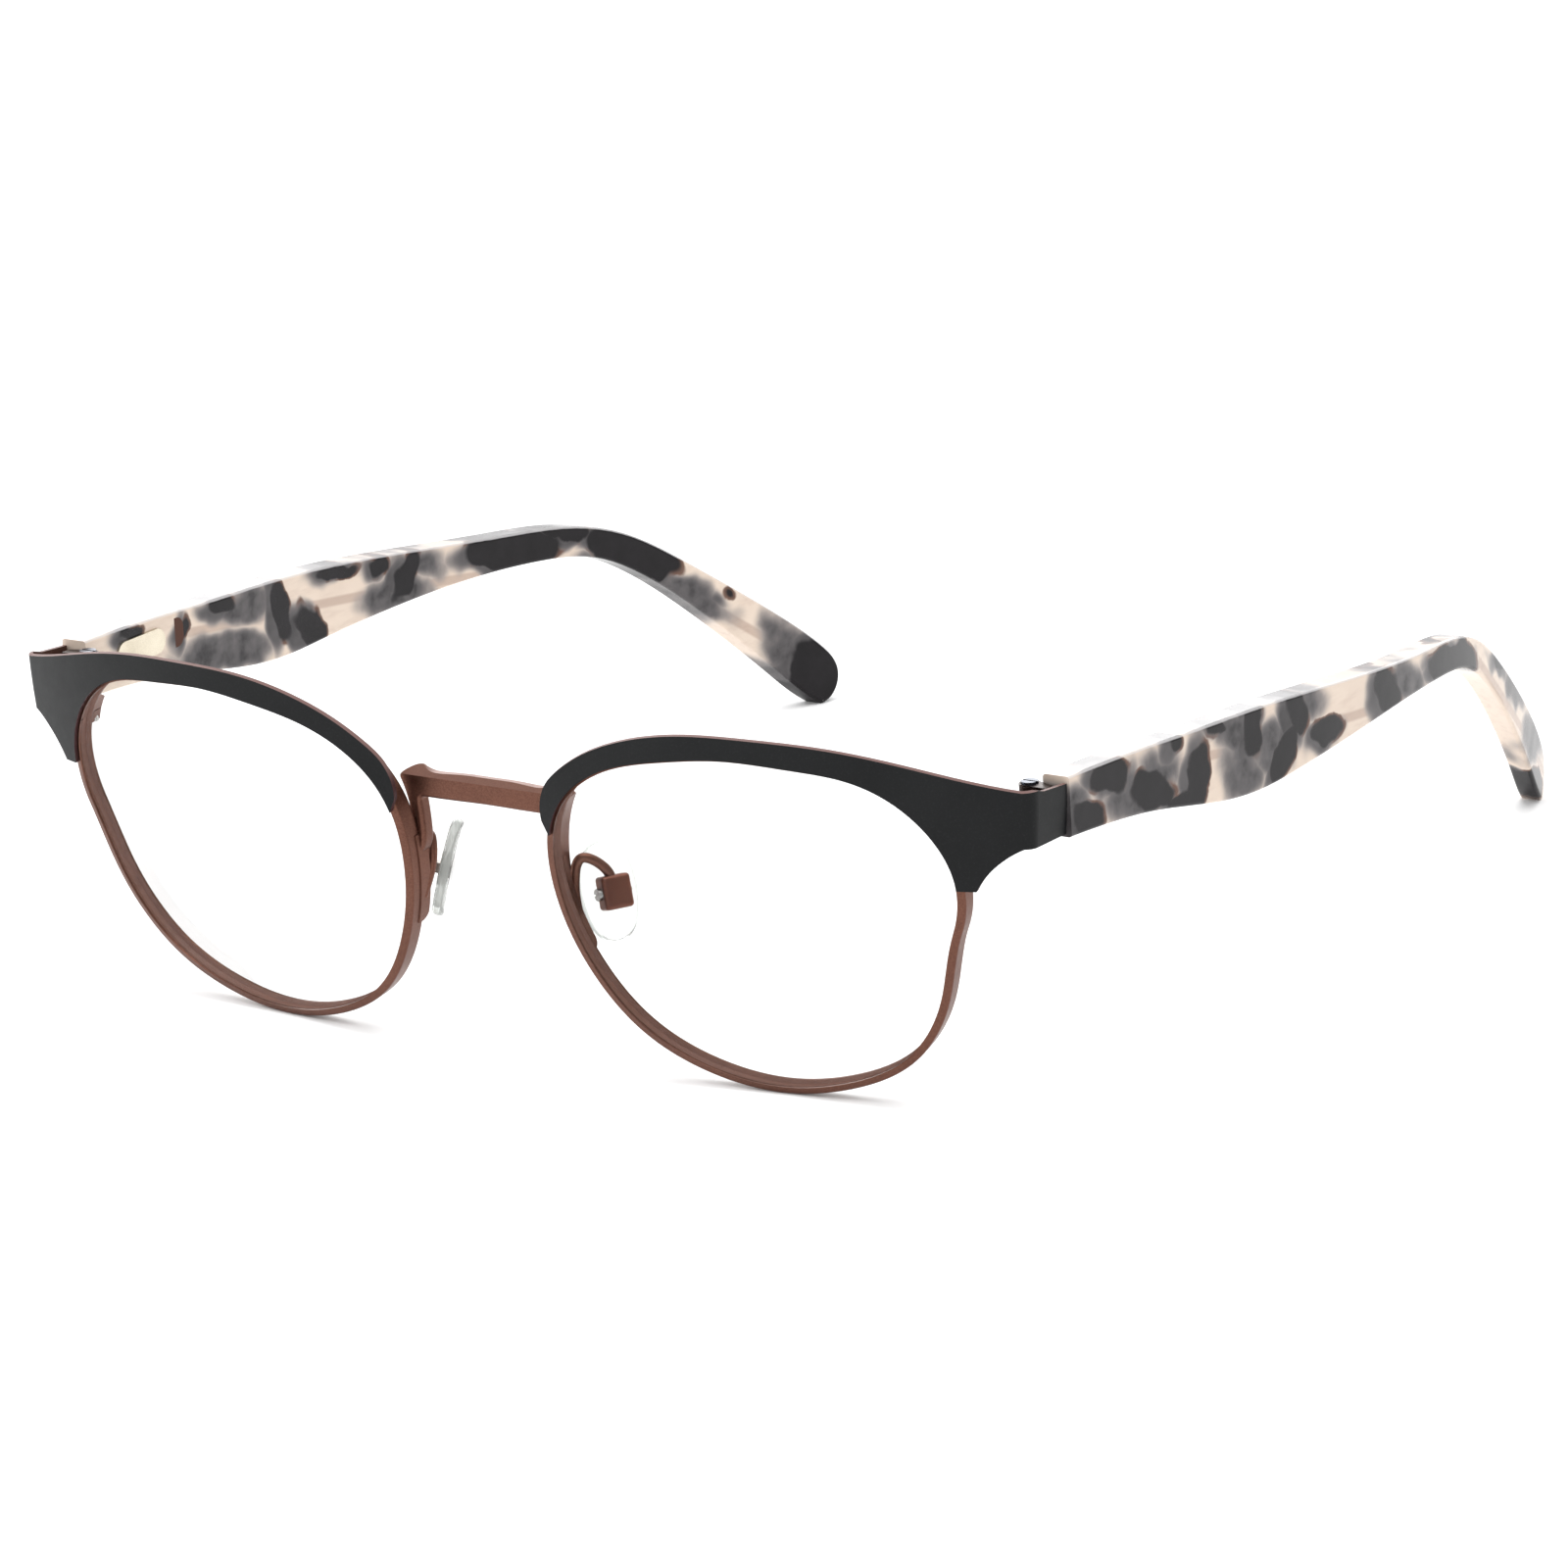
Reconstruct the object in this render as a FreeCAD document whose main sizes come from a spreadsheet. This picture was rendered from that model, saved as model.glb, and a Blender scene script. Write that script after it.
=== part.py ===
"""Browline eyeglasses: metal rims, dark brow plates, adjustable nose pads, spring hinges, acetate temples.

The frame stands on its rims and temple tips on the plane z = 0, with +X towards the wearer's left,
+Y from the front towards the ears and +Z up. x = 0 is the plane of symmetry. Each left piece is
built first and its right twin is its mirror image.
"""
import FreeCAD, Part

import math
import os

import Sketcher
from FreeCAD import Placement, Rotation, Vector

X_AXIS = Vector(1, 0, 0)
Y_AXIS = Vector(0, 1, 0)
Z_AXIS = Vector(0, 0, 1)

doc = FreeCAD.newDocument("Eyeglasses")

# ---------------------------------------------------------------- driving dimensions (mm, degrees)

DIMENSIONS = {
    # the front as a whole
    "depth_shift": -68.65,
    "face_form_angle": 6.4,
    "lean_angle": 12.1,
    "lens_centre_x": 34.94,
    "lens_centre_y": -0.42,
    "lens_centre_z": 21.43,
    "face_curve_radius": 94.4,
    # rim and lens
    "rim_depth": 2.1,
    "rim_wall": 0.9,
    "rim_edge_round": 0.25,
    "groove_depth": 0.45,
    "groove_width": 1.44,
    "rim_split_height": 10.6,
    "rim_split_gap": 0.12,
    "lens_thickness": 1.5,
    "lens_seat": 0.36,
    "lens_bevel_rise": 0.43,
    "lens_bevel_run": 0.4,
    # brow plate and end piece
    "plate_thickness": 0.5,
    "plate_overlap": 0.3,
    "end_bend_start": 33.2,
    "end_bend_radius": 1.8,
    "end_piece_angle": 89.5,
    "end_piece_rear": 14.0,
    # closing block
    "block_outer": 1.75,
    "block_front": 2.1,
    "block_rear": 3.45,
    "block_half_height": 1.6,
    "closing_screw_radius": 0.4,
    "closing_head_radius": 0.65,
    "closing_head_height": 0.4,
    # bridge
    "bridge_front": 1.4,
    "bridge_depth": 1.9,
    "bridge_round": 0.45,
    # nose pad set
    "pad_x": 13.1,
    "pad_y": 6.7,
    "pad_z": 20.45,
    "pad_splay": 27.0,
    "pad_length": 11.4,
    "pad_width": 7.2,
    "pad_thickness": 1.4,
    "pad_round": 0.6,
    "pad_set_back": 0.6,
    "pad_offset": 2.75,
    "pad_box_length": 3.8,
    "pad_box_width": 3.5,
    "pad_box_depth": 2.2,
    "pad_box_round": 0.45,
    "pad_slot_length": 2.0,
    "pad_slot_width": 1.2,
    "pad_slot_depth": 1.95,
    "stem_thickness": 1.0,
    "stem_radius": 0.75,
    "stem_neck": 1.2,
    "pad_core_length": 3.6,
    "pad_core_width": 2.4,
    "pad_core_thickness": 0.5,
    "pad_screw_radius": 0.35,
    "pad_screw_head_radius": 0.7,
    "pad_screw_head_height": 0.45,
    "pad_wire_radius": 0.58,
    "pad_base_wall": 1.05,
    "pad_base_depth": 0.6,
    # hinge
    "hinge_x": 64.4,
    "hinge_y": 13.2,
    "hinge_z": 35.0,
    "barrel_radius": 1.2,
    "barrel_height": 4.8,
    "knuckle_height": 2.1,
    "knuckle_slot": 2.2,
    "leaf_thickness": 0.8,
    "leaf_height": 3.8,
    "leaf_sink": 0.3,
    "hinge_screw_radius": 0.55,
    "hinge_head_radius": 0.95,
    "hinge_head_height": 0.6,
    "hinge_head_rise": 0.25,
    "running_clearance": 0.05,
    "rod_radius": 0.3,
    "rod_offset": 2.1,
    "guide_half_width": 0.6,
    "rod_start": 4.2,
    "rod_end": 16.6,
    "stop_radius": 0.58,
    "stop_length": 1.0,
    "spring_radius": 0.47,
    "spring_wire_radius": 0.1,
    "spring_turns": 20,
    "housing_front": 1.3,
    "housing_slot_end": 4.4,
    "housing_shoulder": 5.0,
    "housing_cavity_end": 18.4,
    "housing_rear": 19.2,
    "housing_inner": 1.3,
    "housing_outer": 2.9,
    "housing_rear_round": 1.2,
    "housing_half_height": 1.75,
    "housing_cavity_radius": 0.64,
    "boss_front": 6.5,
    "boss_rear": 15.3,
    "boss_inner": 0.9,
    "boss_radius": 1.5,
    # temple
    "temple_front": 14.15,
    "temple_thickness": 3.4,
    "temple_tip_thickness": 2.7,
    "temple_taper_start": 96.0,
    "temple_round": 0.4,
    "temple_x_front": 67.2,
    "temple_splay": 0.0129,
    "temple_curl_start": 52.0,
    "temple_curl": 0.0023,
    "core_wire_thickness": 1.2,
    "core_ring_radius": 1.35,
}

sheet = doc.addObject("Spreadsheet::Sheet", "Dimensions")
for row, (alias, value) in enumerate(DIMENSIONS.items(), start=1):
    sheet.set(f"A{row}", alias.replace("_", " "))
    sheet.set(f"B{row}", str(value))
    sheet.setAlias(f"B{row}", alias)
doc.recompute()


def size(alias):
    """The value of one cell of the sheet."""
    return float(sheet.get(alias))


# Radii of the lens opening, one every 22.5 degrees round from the temple side towards the top.
LENS_RADII = [24.4, 25.9, 23.6, 20.1, 19.0, 19.6, 22.3, 24.7,
              24.1, 23.2, 22.8, 21.9, 21.6, 21.95, 23.1, 23.3]

# Edge of the brow plate seen square to the lens, as (outward, up) from the lens centre.
PLATE_TOP_EDGE = [
    (-24.9, 8.6), (-24.8, 10.9), (-23.8, 13.1), (-21.8, 15.1), (-18.3, 17.5), (-13.7, 19.6),
    (-8.1, 21.1), (-3.7, 21.65), (3.0, 21.75), (12.4, 21.1), (20.3, 19.5), (27.5, 17.4), (36.0, 15.1),
]
PLATE_LOWER_EDGE = [(36.0, 9.8), (33.0, 9.4), (30.7, 8.2), (28.8, 6.5), (27.7, 4.9)]
PLATE_NOSE_END = (-23.2, 5.2)
PLATE_TEMPLE_END = (22.0, 5.4)

# Side view of the temple, as (back, up): top edge front to tip, then lower edge tip to front.
TEMPLE_TOP = [
    (14.15, 38.3), (22.0, 38.05), (30.0, 37.6), (38.0, 37.05), (48.0, 36.5), (60.0, 35.55), (77.5, 33.5),
    (91.5, 31.9), (104.0, 30.2), (110.7, 27.9), (118.5, 23.2), (131.9, 13.4), (138.4, 7.8), (140.9, 3.6),
    (139.8, 0.7), (138.2, 0.0),
]
TEMPLE_BOTTOM = [
    (138.2, 0.0), (136.5, 1.3), (132.8, 4.9), (122.7, 14.5), (112.7, 22.4), (106.0, 25.8), (97.5, 27.3),
    (84.0, 27.8), (70.0, 27.45), (60.0, 27.0), (52.0, 26.75), (46.0, 27.2), (38.0, 28.6), (30.0, 30.1),
    (22.0, 31.0), (14.15, 31.5),
]
# Middle line of the core wire in side view.
CORE_LINE = [
    (27.3, 34.9), (36.0, 34.2), (47.0, 32.9), (60.0, 31.9), (80.0, 31.0), (97.0, 29.6), (108.0, 27.0),
    (120.2, 19.0), (132.2, 8.6),
]
CORE_RING_STATIONS = [36.5, 38.4, 40.3]


# ---------------------------------------------------------------- helpers for plain shapes

def shift_back(point_y):
    """Depth measured from the lens plane turned into depth in the part's own frame."""
    return point_y + size("depth_shift")


LENS_PLACEMENT = Placement(
    Vector(size("lens_centre_x"), shift_back(size("lens_centre_y")), size("lens_centre_z")),
    Rotation(Z_AXIS, size("face_form_angle")) * Rotation(X_AXIS, size("lean_angle")),
)


def smooth_wire(points, closed=False):
    curve = Part.BSplineCurve()
    curve.interpolate(Points=points, PeriodicFlag=closed)
    return curve


def opening_curve(offset):
    """Closed outline of the lens opening in the lens plane, moved outwards by offset."""
    points = []
    for index, radius in enumerate(LENS_RADII):
        angle = 2 * math.pi * index / len(LENS_RADII)
        points.append(Vector(radius * math.cos(angle), 0, radius * math.sin(angle)))
    curve = smooth_wire(points, closed=True)
    if offset == 0:
        return curve
    first, last = curve.FirstParameter, curve.LastParameter
    stations = 40
    moved = []
    for index in range(stations):
        parameter = first + (last - first) * index / stations
        tangent = curve.tangent(parameter)[0]
        outward = tangent.cross(Y_AXIS) * -1
        if outward.dot(curve.value(parameter)) < 0:
            outward = outward * -1
        moved.append(curve.value(parameter) + outward * offset)
    return smooth_wire(moved, closed=True)


PRISM_FRONT = -6.0
PRISM_LENGTH = 30.0


def prism(edges):
    """Solid swept straight back from a closed flat outline in the lens plane."""
    face = Part.Face(Part.Wire(edges))
    face.translate(Y_AXIS * PRISM_FRONT)
    return face.extrude(Y_AXIS * PRISM_LENGTH)


def opening_prism(offset):
    return prism([opening_curve(offset).toShape()])


def curved_layer(front, rear):
    """Layer of the face curve between two depths behind the front of the rim."""
    radius = size("face_curve_radius")
    centre = Vector(0, radius, 0)
    outer = Part.makeSphere(radius - front, centre)
    return outer.cut(Part.makeSphere(radius - rear, centre))


def ring(inner_offset, outer_offset, front, rear):
    """Ring that follows the lens opening between two offsets and two depths."""
    band = opening_prism(outer_offset).cut(opening_prism(inner_offset))
    return band.common(curved_layer(front, rear))


def slab(low, high):
    """Axis-aligned box between two corners."""
    edge = Vector(*high) - Vector(*low)
    return Part.makeBox(edge.x, edge.y, edge.z, Vector(*low))


def only_solid(shape):
    """The single solid of a boolean result."""
    solids = sorted(shape.Solids, key=lambda solid: solid.Volume)
    return solids[-1]


def rounded(shape, radius, edges):
    """The shape with its edges rounded, or the shape itself where the round doesn't fit."""
    try:
        result = shape.makeFillet(radius, edges)
    except Part.OCCError:
        return shape
    if result.isValid() and result.Volume > 0:
        return only_solid(result)
    return shape


def feature(label, shape, placement=None):
    item = doc.addObject("Part::Feature", label)
    item.Shape = shape
    if placement is not None:
        item.Placement = placement.multiply(shape.Placement)
    item.Label = label
    return item


# ---------------------------------------------------------------- helpers for PartDesign bodies

def new_body(label):
    body = doc.addObject("PartDesign::Body", label)
    body.Label = label
    return body


def new_sketch(body, name, role, height=0.0):
    sketch = body.newObject("Sketcher::SketchObject", name)
    plane = [item for item in body.Origin.OriginFeatures if item.Role == role][0]
    sketch.AttachmentSupport = (plane, [""])
    sketch.MapMode = "FlatFace"
    sketch.AttachmentOffset = Placement(Vector(0, 0, height), Rotation())
    return sketch


def draw_circle(sketch, radius_alias, centre=(0.0, 0.0)):
    circle = sketch.addGeometry(Part.Circle(Vector(centre[0], centre[1], 0), Z_AXIS, size(radius_alias)))
    index = sketch.addConstraint(Sketcher.Constraint("Radius", circle, size(radius_alias)))
    sketch.setExpression(f"Constraints[{index}]", f"Dimensions.{radius_alias}")
    if centre == (0.0, 0.0):
        sketch.addConstraint(Sketcher.Constraint("Coincident", circle, 3, -1, 1))
    return circle


def draw_box(sketch, width_alias, height_alias):
    """Rectangle centred on the sketch's origin."""
    half_width = size(width_alias) / 2
    half_height = size(height_alias) / 2
    corners = [(-half_width, -half_height), (half_width, -half_height),
               (half_width, half_height), (-half_width, half_height)]
    lines = []
    for start, end in zip(corners, corners[1:] + corners[:1]):
        lines.append(sketch.addGeometry(Part.LineSegment(Vector(*start, 0), Vector(*end, 0))))
    for line, following in zip(lines, lines[1:] + lines[:1]):
        sketch.addConstraint(Sketcher.Constraint("Coincident", line, 2, following, 1))
    sketch.addConstraint(Sketcher.Constraint("Horizontal", lines[0]))
    sketch.addConstraint(Sketcher.Constraint("Vertical", lines[1]))
    sketch.addConstraint(Sketcher.Constraint("Horizontal", lines[2]))
    sketch.addConstraint(Sketcher.Constraint("Vertical", lines[3]))
    sketch.addConstraint(Sketcher.Constraint("Symmetric", lines[0], 1, lines[1], 2, -1, 1))
    width = sketch.addConstraint(
        Sketcher.Constraint("DistanceX", lines[0], 1, lines[0], 2, size(width_alias)))
    sketch.setExpression(f"Constraints[{width}]", f"Dimensions.{width_alias}")
    height = sketch.addConstraint(
        Sketcher.Constraint("DistanceY", lines[1], 1, lines[1], 2, size(height_alias)))
    sketch.setExpression(f"Constraints[{height}]", f"Dimensions.{height_alias}")


def draw_outline(sketch, corners):
    """Closed outline of straight lines."""
    for start, end in zip(corners, corners[1:] + corners[:1]):
        sketch.addGeometry(Part.LineSegment(Vector(*start, 0), Vector(*end, 0)))


def pad(body, name, sketch, length_expression, reverse=False, middle=False):
    item = body.newObject("PartDesign::Pad", name)
    item.Profile = sketch
    item.Reversed = reverse
    if middle:
        item.SideType = "Symmetric"
    item.setExpression("Length", length_expression)
    return item


def pocket(body, name, sketch, length_expression, reverse=False, middle=False):
    before = body.Tip.Shape.Volume if body.Tip is not None and not body.Tip.Shape.isNull() else 0
    item = body.newObject("PartDesign::Pocket", name)
    item.Profile = sketch
    item.Reversed = reverse
    if middle:
        item.SideType = "Symmetric"
    item.setExpression("Length", length_expression)
    doc.recompute()
    if item.Shape.Volume >= before:
        raise ValueError(f"{name} cuts nothing")
    return item


def fillet_all(body, name, base, radius_alias):
    item = body.newObject("PartDesign::Fillet", name)
    item.Base = (base, [])
    item.UseAllEdges = True
    item.setExpression("Radius", f"Dimensions.{radius_alias}")
    doc.recompute()
    return item


# ---------------------------------------------------------------- rim, lens and brow plate

def rim_solid():
    full = ring(0, size("rim_wall"), 0, size("rim_depth"))
    groove_front = (size("rim_depth") - size("groove_width")) / 2
    groove = ring(-0.5, size("groove_depth"), groove_front, groove_front + size("groove_width"))
    return only_solid(full.cut(groove))


def split_slot():
    """Thin slot through the rim behind the end piece."""
    half_gap = size("rim_split_gap") / 2
    height = size("rim_split_height")
    return slab((15, -3, height - half_gap), (35, 15, height + half_gap))


def build_rim():
    solid = rim_solid()
    outer_edges = [edge for edge in solid.Edges if edge.Length > 120 and is_outer(edge)]
    solid = rounded(solid, size("rim_edge_round"), outer_edges)
    return feature("left_rim", only_solid(solid.cut(split_slot())), LENS_PLACEMENT)


def is_outer(edge):
    """True for the long edges of the rim's outer wall."""
    first = edge.Vertexes[0].Point
    angle = math.atan2(first.z, first.x) % (2 * math.pi)
    step = 2 * math.pi / len(LENS_RADII)
    near = LENS_RADII[int(round(angle / step)) % len(LENS_RADII)]
    return math.hypot(first.x, first.z) > near + size("rim_wall") / 2 + 0.15


def build_lens():
    front = (size("rim_depth") - size("lens_thickness")) / 2
    blank = only_solid(opening_prism(size("lens_seat")).common(
        curved_layer(front, front + size("lens_thickness"))))
    long_edges = [edge for edge in blank.Edges if edge.Length > 100]
    try:
        bevelled = blank.makeChamfer(size("lens_bevel_rise"), size("lens_bevel_run"), long_edges)
    except Part.OCCError:
        bevelled = blank
    return feature("left_lens", only_solid(bevelled), LENS_PLACEMENT)


def plate_front():
    """The part of the brow plate that follows the face curve, in the lens frame."""
    top = smooth_wire([Vector(x, 0, z) for x, z in PLATE_TOP_EDGE])
    lower = smooth_wire([Vector(x, 0, z) for x, z in PLATE_LOWER_EDGE])
    top_start = Vector(PLATE_TOP_EDGE[0][0], 0, PLATE_TOP_EDGE[0][1])
    top_end = Vector(PLATE_TOP_EDGE[-1][0], 0, PLATE_TOP_EDGE[-1][1])
    lower_start = Vector(PLATE_LOWER_EDGE[0][0], 0, PLATE_LOWER_EDGE[0][1])
    lower_end = Vector(PLATE_LOWER_EDGE[-1][0], 0, PLATE_LOWER_EDGE[-1][1])
    temple_end = Vector(PLATE_TEMPLE_END[0], 0, PLATE_TEMPLE_END[1])
    nose_end = Vector(PLATE_NOSE_END[0], 0, PLATE_NOSE_END[1])
    edges = [
        top.toShape(),
        Part.makeLine(top_end, lower_start),
        lower.toShape(),
        Part.makeLine(lower_end, temple_end),
        Part.makeLine(temple_end, nose_end),
        Part.makeLine(nose_end, top_start),
    ]
    blank = prism(edges).common(curved_layer(-size("plate_thickness"), 0))
    return only_solid(blank.cut(opening_prism(size("plate_overlap"))))


def bend_frame():
    """Where the end piece starts to bend back: a point on its front and its heading in plan."""
    across = size("end_bend_start")
    level = 13.0
    radius = size("face_curve_radius") + size("plate_thickness")
    depth = size("face_curve_radius") - math.sqrt(radius ** 2 - across ** 2 - level ** 2)
    point = LENS_PLACEMENT.multVec(Vector(across, depth, level))
    along = LENS_PLACEMENT.Rotation.multVec(Vector(1, across / math.sqrt(radius ** 2 - across ** 2), 0))
    heading = math.degrees(math.atan2(along.y, along.x))
    return point, heading


def end_piece_face():
    """X of the outer face of the end piece behind its bend."""
    point, heading = bend_frame()
    reach = math.sin(math.radians(size("end_piece_angle"))) - math.sin(math.radians(heading))
    return point.x + size("end_bend_radius") * reach


def build_brow_plate():
    front = plate_front()
    front.Placement = LENS_PLACEMENT
    point, heading = bend_frame()
    reach = 60.0
    beyond = Part.makeBox(reach, reach, reach, Vector(0, -reach / 2, -reach / 2))
    beyond.Placement = Placement(point, Rotation(Z_AXIS, heading))
    front = only_solid(front.cut(beyond))
    normal = Vector(math.cos(math.radians(heading)), math.sin(math.radians(heading)), 0)
    end_faces = [face for face in front.Faces
                 if abs((face.CenterOfMass - point).dot(normal)) < 0.01 and face.Area < 12]
    end_face = max(end_faces, key=lambda face: face.Area)
    inward = Vector(-normal.y, normal.x, 0)
    centre = point + inward * size("end_bend_radius")
    turn = size("end_piece_angle") - heading
    bend = end_face.revolve(centre, Z_AXIS, turn)
    rear_face = end_face.copy()
    rear_face.rotate(centre, Z_AXIS, turn)
    length = shift_back(size("end_piece_rear")) - rear_face.CenterOfMass.y
    strip = rear_face.extrude(Vector(0, length, 0))
    tail = bend.fuse(strip)
    # the end piece narrows a little towards the hinge
    tail_outline = Part.makePolygon([
        Vector(50, shift_back(4.0), 28.0), Vector(50, shift_back(15.0), 28.0),
        Vector(50, shift_back(15.0), 37.5), Vector(50, shift_back(9.5), 37.95),
        Vector(50, shift_back(5.6), 39.2), Vector(50, shift_back(4.0), 39.6),
        Vector(50, shift_back(4.0), 28.0),
    ])
    trim = Part.Face(tail_outline).extrude(X_AXIS * 30)
    whole = front.fuse(tail.common(trim)).removeSplitter()
    return feature("left_brow_plate", only_solid(whole))


# ---------------------------------------------------------------- closing block

def closing_line():
    """Centre of the closing screw in the lens frame: (outward, back)."""
    outward = 24.6
    radius = size("face_curve_radius")
    depth = radius - math.sqrt(radius ** 2 - outward ** 2 - size("rim_split_height") ** 2)
    back = depth + (size("block_front") + size("block_rear")) / 2 + 0.05
    return outward, back


def closing_bore(radius):
    outward, back = closing_line()
    return Part.makeCylinder(radius, 20, Vector(outward, back, 0), Z_AXIS)


def build_closing_block(label, upper):
    band = ring(0.1, size("block_outer"), size("block_front"), size("block_rear"))
    middle = size("rim_split_height")
    half_gap = size("rim_split_gap") / 2
    reach = size("block_half_height")
    if upper:
        keep = slab((18, -2, middle + half_gap), (30, 20, middle + reach))
    else:
        keep = slab((18, -2, middle - reach), (30, 20, middle - half_gap))
    half = only_solid(band.common(keep))
    half = half.cut(closing_bore(size("closing_screw_radius") + 0.03))
    return feature(label, only_solid(half), LENS_PLACEMENT)


def build_closing_screw():
    outward, back = closing_line()
    top = size("rim_split_height") + size("block_half_height")
    length = 2 * size("block_half_height")
    foot = Vector(outward, back, top - length)
    shank = Part.makeCylinder(size("closing_screw_radius"), length, foot, Z_AXIS)
    head_radius = size("closing_head_radius")
    head_height = size("closing_head_height")
    head = Part.makeCylinder(head_radius, head_height, Vector(outward, back, top + 0.02), Z_AXIS)
    neck = Part.makeCylinder(size("closing_screw_radius"), 0.1, Vector(outward, back, top - 0.05), Z_AXIS)
    slot = slab((outward - 1, back - 0.12, top + head_height - 0.2), (outward + 1, back + 0.12, top + 2))
    screw = shank.fuse([neck, head]).cut(slot)
    return feature("left_closing_screw", only_solid(screw.removeSplitter()), LENS_PLACEMENT)


# ---------------------------------------------------------------- bridge

BRIDGE_TOP = [(0.0, 33.05), (3.0, 33.05), (5.5, 32.95), (8.1, 33.05), (9.2, 33.5)]
BRIDGE_BOTTOM = [(9.0, 30.1), (4.0, 30.1), (0.0, 30.15)]
EAR_OUTLINE = [(9.2, 33.5), (10.3, 33.3), (11.7, 32.4), (12.6, 31.2), (12.5, 30.1), (11.4, 29.3)]
LEG_OUTER = [(11.4, 29.3), (10.9, 28.2), (10.9, 26.5), (11.1, 24.6), (10.4, 23.5)]
LEG_INNER = [(10.4, 23.5), (9.5, 23.5), (8.8, 24.6), (8.65, 26.5), (8.8, 28.4), (9.0, 30.1)]


def build_bridge(rims, openings):
    """Bar and two legs cast in one, seated against the backs and sides of the rims."""
    y = shift_back(size("bridge_front"))

    def points(pairs, sign):
        return [Vector(sign * x, y, z) for x, z in pairs]

    top = smooth_wire(points(BRIDGE_TOP[::-1], -1) + points(BRIDGE_TOP[1:], 1)).toShape()
    bottom = smooth_wire(points(BRIDGE_BOTTOM, 1) + points(BRIDGE_BOTTOM[-2::-1], -1)).toShape()
    sides = []
    for sign in (1, -1):
        for pairs in (EAR_OUTLINE, LEG_OUTER, LEG_INNER):
            sides.append(smooth_wire(points(pairs, sign)).toShape())
    outline = Part.Wire(Part.__sortEdges__([top, bottom] + sides))
    blank = Part.Face(outline).extrude(Y_AXIS * size("bridge_depth"))
    blank = rounded(blank, size("bridge_round"), blank.Edges)
    # the ears slope up towards the back, so the bar's front edge runs on across them
    rise = Part.makePolygon([
        Vector(-20, y - 0.6, 32.1), Vector(-20, y + 2.4, 34.1), Vector(-20, y + 2.4, 38),
        Vector(-20, y - 0.6, 38), Vector(-20, y - 0.6, 32.1),
    ])
    blank = blank.cut(Part.Face(rise).extrude(X_AXIS * 40))
    for shape in rims + openings:
        blank = blank.cut(shape)
    return feature("bridge", only_solid(blank))


# ---------------------------------------------------------------- nose pad set

def pad_frame():
    """Placement of the pad box: X towards the nose, Y forwards along the pad's width, Z up its length."""
    splay = math.radians(size("pad_splay"))
    width = Vector(-math.sin(splay), -math.cos(splay), 0)
    length = Vector(-0.27, 0.04, 0.96)
    length = length - width * length.dot(width)
    length.normalize()
    nose = width.cross(length)
    rotation = Rotation(nose, width, length, "ZXY")
    return Placement(Vector(size("pad_x"), shift_back(size("pad_y")), size("pad_z")), rotation)


PAD_PLACEMENT = pad_frame()


def build_pad_box():
    body = new_body("left_pad_box")
    outline = new_sketch(body, "left_pad_box_outline", "XZ_Plane")
    draw_box(outline, "pad_box_depth", "pad_box_length")
    block = pad(body, "left_pad_box_block", outline, "Dimensions.pad_box_width", middle=True)
    doc.recompute()
    fillet_all(body, "left_pad_box_round", block, "pad_box_round")
    slot = new_sketch(body, "left_pad_box_slot_outline", "YZ_Plane", size("pad_box_depth") / 2)
    draw_box(slot, "pad_slot_width", "pad_slot_length")
    pocket(body, "left_pad_box_slot", slot, "Dimensions.pad_slot_depth")
    bore = new_sketch(body, "left_pad_box_bore_outline", "XZ_Plane")
    draw_circle(bore, "pad_screw_radius")
    hole = pocket(body, "left_pad_box_bore", bore, "Dimensions.pad_box_width * 2", middle=True)
    body.Tip = hole
    body.Placement = PAD_PLACEMENT
    return body


def build_pad_screw():
    """Screw along the pad's width, its head on the front cheek of the box."""
    half_width = size("pad_box_width") / 2
    radius = size("pad_screw_radius") - 0.02
    tail = -half_width - 0.3
    head_base = half_width + 0.02
    shank = Part.makeCylinder(radius, head_base - tail, Vector(0, tail, 0), Y_AXIS)
    head_height = size("pad_screw_head_height")
    head = Part.makeCylinder(size("pad_screw_head_radius"), head_height, Vector(0, head_base, 0), Y_AXIS)
    slot = slab((-1, head_base + head_height - 0.17, -0.1), (1, head_base + 1, 0.1))
    screw = shank.fuse(head).cut(slot).removeSplitter()
    return feature("left_pad_screw", only_solid(screw), PAD_PLACEMENT)


def pad_core():
    """Metal core of the pad with its stem, in the pad frame."""
    plate_x = size("pad_offset")
    back = size("pad_set_back")
    length_scale = size("pad_core_length") / size("pad_core_width")
    disc = Part.makeCylinder(size("pad_core_width") / 2, size("pad_core_thickness"), Vector(0, 0, 0), X_AXIS)
    stretch = FreeCAD.Matrix()
    stretch.scale(1, 1, length_scale)
    plate = disc.transformGeometry(stretch)
    plate.translate(Vector(plate_x - size("pad_core_thickness") / 2, -back, 0))
    half = size("stem_thickness") / 2
    neck = slab((0, -half, -size("stem_neck") / 2), (plate_x, half, size("stem_neck") / 2))
    eye = Part.makeCylinder(size("stem_radius"), 2 * half, Vector(0, -half, 0), Y_AXIS)
    bore_radius = size("pad_screw_radius") + size("running_clearance")
    bore = Part.makeCylinder(bore_radius, 4, Vector(0, -2, 0), Y_AXIS)
    return only_solid(plate.fuse([neck, eye]).removeSplitter().cut(bore))


def build_pad_insert():
    return feature("left_pad_insert", pad_core(), PAD_PLACEMENT)


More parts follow.
